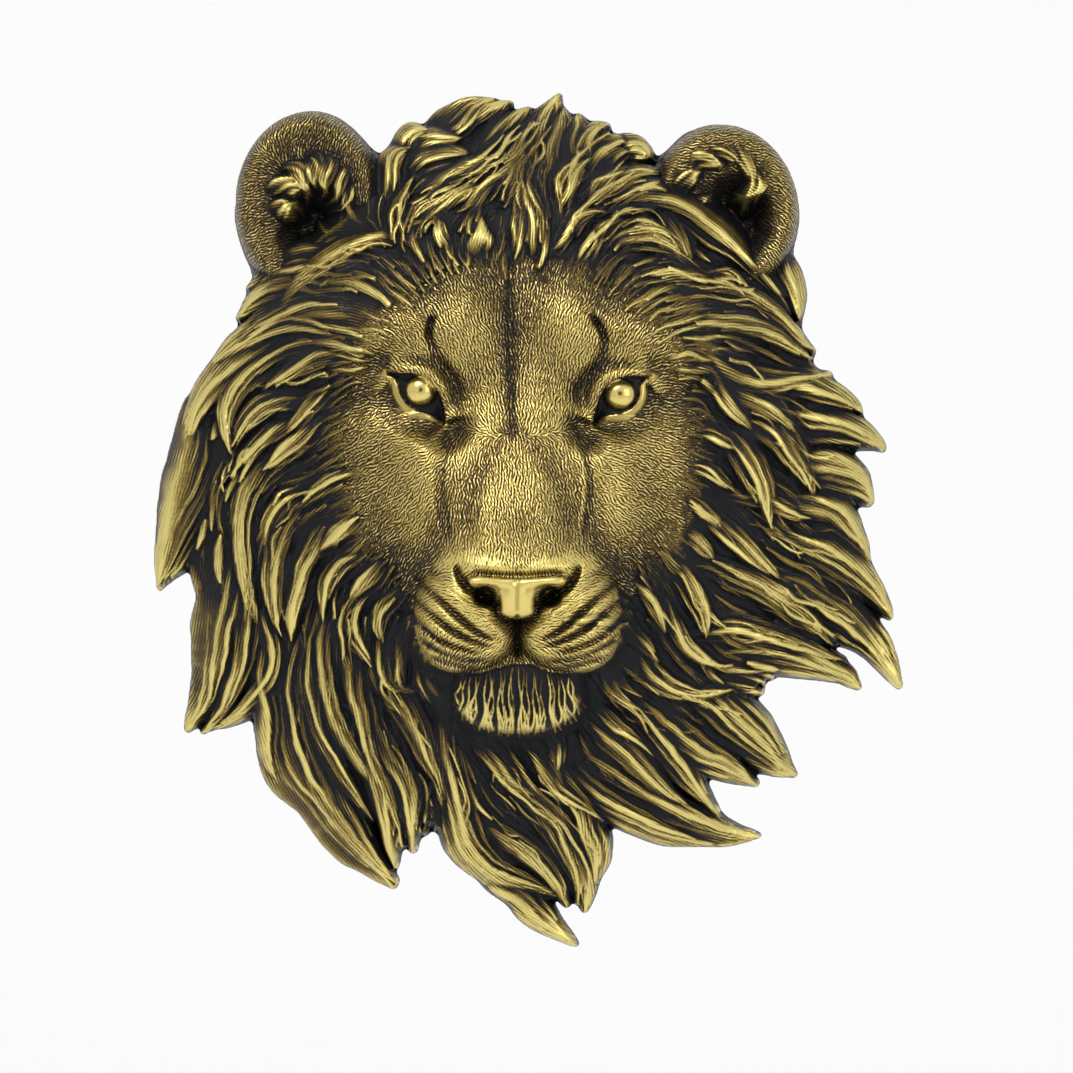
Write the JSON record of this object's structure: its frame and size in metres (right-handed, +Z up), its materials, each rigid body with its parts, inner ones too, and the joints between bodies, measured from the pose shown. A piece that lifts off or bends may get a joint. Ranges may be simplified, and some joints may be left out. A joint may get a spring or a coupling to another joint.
{
  "type": "lion head wall decoration",
  "caption": "Cast lion head wall plaque in high relief with a flowing mane, rounded ears and a flat back that sits against a wall.",
  "frame": {"origin": "middle of the flat back face, at the wall", "axes": "+X to the viewer's right, +Y into the wall, +Z up"},
  "size_m": [0.2029, 0.0726, 0.2307],
  "materials": {
    "antique_brass": "cast resin painted black and rubbed with antique brass"
  },
  "bodies": {
    "root": {"lion_head": "antique_brass"}
  },
  "joints": []
}
